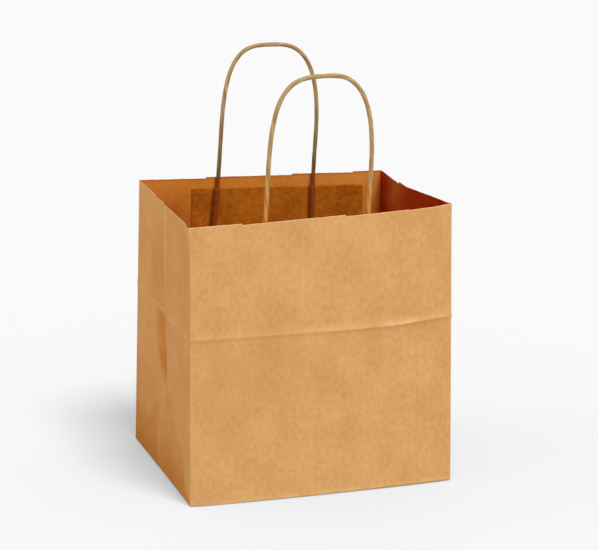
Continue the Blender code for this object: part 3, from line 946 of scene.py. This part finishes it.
def stretched_noise(tree, place, stretch, size, octaves, low, high):
    """Noise on a stretched measure; its values from low to high are spread over 0 to 1."""
    long = add_node(tree, "Mapping", {"Vector": place, "Scale": stretch}).outputs[0]
    inputs = {0: noise(tree, long, size, octaves), 1: low, 2: high}
    return add_node(tree, "MapRange", inputs).outputs[0]


def make_cord_paper():
    """Streaks that follow the twist, slow changes between khaki and brown, and the marks."""
    material, tree, shader = new_material("twisted_kraft_cord", CORD_ROUGHNESS, CORD_GLOSS,
                                          PAPER_REFRACTION)
    place = add_node(tree, "Attribute", attribute_name="untwisted").outputs["Vector"]
    streaks = stretched_noise(tree, place, (1, 1, 0.05), STREAK, 2.0, 0.28, 0.72)
    change = stretched_noise(tree, place, (0.4, 0.4, 1), PULP_CHANGE, 1.0, 0.35, 0.65)
    khaki = mix(tree, streaks, linear("#8c7748"), linear("#ccb482"))
    brown = mix(tree, streaks, linear("#926a3e"), linear("#d0a472"))
    body = tint(tree, mix(tree, change, khaki, brown), CORD_MARKS)
    link_finish(tree, shader, body, streaks, CORD_BUMP)
    return material


cord_paper = make_cord_paper()
print("the cord's paper has", len(cord_paper.node_tree.nodes), "nodes")

# %% The handles' pieces
FIRST_CORD_SEED = 11
PATTERN_SHIFT = 0.7
GROOVE_SHADE = 0.62


def cord_marks(handle, height, groove):
    """The groove's shade, the back feet's darker colour, a painted warm glow on the front feet, and
    the glued ends, by height over the rim.
    """
    return {
        "groove": np.append(GROOVE_SHADE * groove.ravel(), [0, 0]),
        "handled": handle["dark_foot"] * fall(height, 0.075),
        "painted_warm_glow": handle["painted_glow_foot"] * np.clip(1.3 - height / 0.035, 0, 1),
        "glued": step(-0.001 - height, 0.002),
    }


def make_handle(name, handle, seed):
    """The cord's rings as one closed piece, with its untwisted measure as an attribute."""
    line, length = handle_route(handle)
    rings, turned, groove = (part[1:-1] for part in cord_surface(line, length, seed))
    points = np.concatenate([rings.reshape(-1, 3), line[[0, -1]]])
    faces = grid_faces(len(rings), CORD_SIDES, closed=True)
    side = np.arange(CORD_SIDES)
    after = (side + 1) % CORD_SIDES
    start, last = rings.size // 3, (len(rings) - 1) * CORD_SIDES
    caps = np.concatenate([
        np.stack([side, np.full(CORD_SIDES, start), after], axis=-1),
        np.stack([last + side, last + after, np.full(CORD_SIDES, start + 1)], axis=-1),
    ])
    piece = add_piece(name, points, faces.tolist() + caps.tolist(),
                      np.zeros((faces.size + caps.size, 2)), [cord_paper],
                      cord_marks(handle, points[:, 2] - HEIGHT, groove))
    along = np.broadcast_to(length[1:-1, None], turned.shape) + PATTERN_SHIFT * seed
    straight = np.stack([CORD_RADIUS * np.cos(turned), CORD_RADIUS * np.sin(turned), along], -1)
    straight = np.concatenate([straight.reshape(-1, 3), [[0, 0, 0], [0, 0, 1]]])
    layer = piece.data.attributes.new("untwisted", "FLOAT_VECTOR", "POINT")
    layer.data.foreach_set("vector", straight.astype(np.float32).ravel())
    return piece


handles = {}
for seed, (name, handle) in enumerate(HANDLES.items(), FIRST_CORD_SEED):
    handles[name] = make_handle(name + "_cord", handle, seed)

# %% [markdown]
# ## The strips over the handles' ends
# A strip of darker, recycled paper is glued over the two ends of each cord. Glue draws it down
# on the wall on both sides of a cord, so it stands up in a ridge over each leg and lies flat
# elsewhere. The wall's own buckles are under it, because it starts from the same wall function.

# %% The shape of a strip
STRIP_WIDTH = 0.18
STRIP_HEIGHT = 0.056
STRIP_DROP = 0.0113
STRIP_OFFSET = 0.0135
STRIP_TILT = 0.003
STRIP_ROWS = 30
RIDGE_HEIGHT = 2 * CORD_RADIUS + 2 * GLUE_GAP
RIDGE_WIDTH = 0.0029
RIDGE_POWER = 3.5
LEG_CHECK = HEIGHT - 0.03
SIDES = (-1, 1)


def leg_place(handle, side, z):
    """How far to the right the left or the right leg of a handle is at a height."""
    return handle_middle(handle, z) + side * leg_offset(z)


def strip_surface(handle, x, z):
    """Glued flat on the wall, with a ridge over each leg: 1 / (1 + (away / width)^3.5)."""
    depth = np.full(np.shape(x), GLUE_GAP)
    for side in SIDES:
        away = np.abs(x - leg_place(handle, side, z)) / RIDGE_WIDTH
        depth += (RIDGE_HEIGHT - GLUE_GAP) / (1 + away ** RIDGE_POWER)
    return inside_wall(handle["side"], x, z, depth), depth


def strip_marks(handle, x, z, depth):
    """Rubbed on top of the ridges, and a painted shadow in the hollow to the left of each."""
    hollow = sum(bell(leg_place(handle, side, z) - x - 0.0034, 0.0011) for side in SIDES)
    return {"wear_and_highlight": 0.85 * ramp(depth - 0.0022, 0.0015), "painted_shade": 0.7 * hollow}


print("a strip rises by", round(1000 * RIDGE_HEIGHT, 1), "mm over each leg")

# %% Both strips
strips = {}
for name, handle in HANDLES.items():
    side_y = handle["side"]
    middle = handle["centre"] + side_y * STRIP_OFFSET
    x_lines = grid_lines(middle - STRIP_WIDTH / 2, middle + STRIP_WIDTH / 2, coarse=0.003,
                         fine=0.0005, reach=0.006,
                         folds=[leg_place(handle, side, LEG_CHECK) for side in SIDES])
    z_lines = np.linspace(HEIGHT - STRIP_DROP - STRIP_HEIGHT, HEIGHT - STRIP_DROP, STRIP_ROWS)
    z, x = np.meshgrid(z_lines, x_lines, indexing="ij")
    z = z - side_y * STRIP_TILT * (x - middle) / STRIP_WIDTH
    strip_points, depth = strip_surface(handle, x, z)
    faces = grid_faces(len(z_lines), len(x_lines), closed=False)[:, ::side_y]
    flat = np.stack([z, x + 0.3 * side_y], axis=-1).reshape(-1, 2)[faces]
    strips[name] = add_piece(name + "_strip", strip_points, faces.tolist(), flat,
                             [strip_paper], strip_marks(handle, x, z, depth))
    add_thickness(strips[name], PAPER, inner=0, rim=0)

# %% [markdown]
# ## Floor and light
# The floor is one large pale sheet that fills the view, as in a studio. The main lamp is in front
# of the bag, a little to the right and high up, and throws a short soft shadow back and to the
# left. A weak, very wide lamp low on the left lights the side wall, and an even sky and the
# pale floor itself fill the rest.
#
# To be near white without more light on the bag, the floor that the camera sees is a mid grey
# that takes the shadow, plus an even glow. For all other rays it is plain pale paint.


# %% The floor
def grey(value):
    """A grey of that linear value, as RGBA."""
    return (value, value, value, 1.0)


FLOOR_HALF = 12.0
FLOOR_BOUNCE = 0.8
FLOOR_SHADE = 0.5
FLOOR_GLOW = 0.328
floor_mesh = bpy.data.meshes.new("floor")
floor_mesh.from_pydata([(FLOOR_HALF * x, FLOOR_HALF * y, 0)
                        for x, y in ((-1, -1), (1, -1), (1, 1), (-1, 1))], [], [(0, 1, 2, 3)])
floor = add_object("floor", floor_mesh)
pale, floor_tree, paint = new_material("matt_pale_paint", roughness=0.9, gloss=0.0)
seen_floor = add_node(floor_tree, "LightPath").outputs["Is Camera Ray"]
colour = mix(floor_tree, seen_floor, grey(FLOOR_BOUNCE), grey(FLOOR_SHADE))
floor_tree.links.new(colour, paint.inputs["Base Color"])
glow = add_node(floor_tree, "Math", {0: seen_floor, 1: FLOOR_GLOW},
                operation="MULTIPLY")
paint.inputs["Emission Color"].default_value = grey(1.0)
floor_tree.links.new(glow.outputs[0], paint.inputs["Emission Strength"])
floor.data.materials.append(pale)
print("the floor is", 2 * FLOOR_HALF, "m wide")


# %% The lamps
def add_lamp(name, strength, softness, turned, height):
    """A far lamp: turned is its angle from straight ahead to the right, height its rise."""
    lamp = bpy.data.lights.new(name, "SUN")
    lamp.energy = strength
    lamp.angle = radians(softness)
    add_object(name, lamp).rotation_euler = (radians(90 - height), 0, radians(turned))
    print(name, strength, "W/m2")


add_lamp("key_lamp", strength=2.45, softness=22, turned=17, height=64)
add_lamp("left_lamp", strength=0.72, softness=60, turned=-100, height=10)

# %% The sky, which is seen as the pale backdrop
SKY = 0.5
world = bpy.data.worlds.new("studio")
bpy.context.scene.world = world
world.use_nodes = True
tree = world.node_tree
tree.nodes.clear()
light = add_node(tree, "Background", {"Color": grey(1.0), "Strength": SKY})
seen = add_node(tree, "Background", {"Color": linear("#f8f8f8"), "Strength": 1.0})
path = add_node(tree, "LightPath").outputs
shown = path["Is Camera Ray"]
for ray in ("Is Glossy Ray", "Is Transmission Ray"):
    shown = add_node(tree, "Math", {0: shown, 1: path[ray]},
                     operation="MAXIMUM").outputs[0]
both = add_node(tree, "MixShader",
                {0: shown, 1: light.outputs[0], 2: seen.outputs[0]})
add_node(tree, "OutputWorld", {"Surface": both.outputs[0]})
print("the sky's strength is", SKY)

# %% [markdown]
# ## Handing the pieces over
# Each piece rides on the imported model's one body and stands for its plain solid.

# %% Pieces and nodes
for piece in (bag, lap, *flaps):
    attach(piece, "root")
    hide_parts("bag_body")
for name in HANDLES:
    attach(handles[name], "root")
    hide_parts(name + "_handle")
    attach(strips[name], "root")
    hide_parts(name + "_handle_strip")
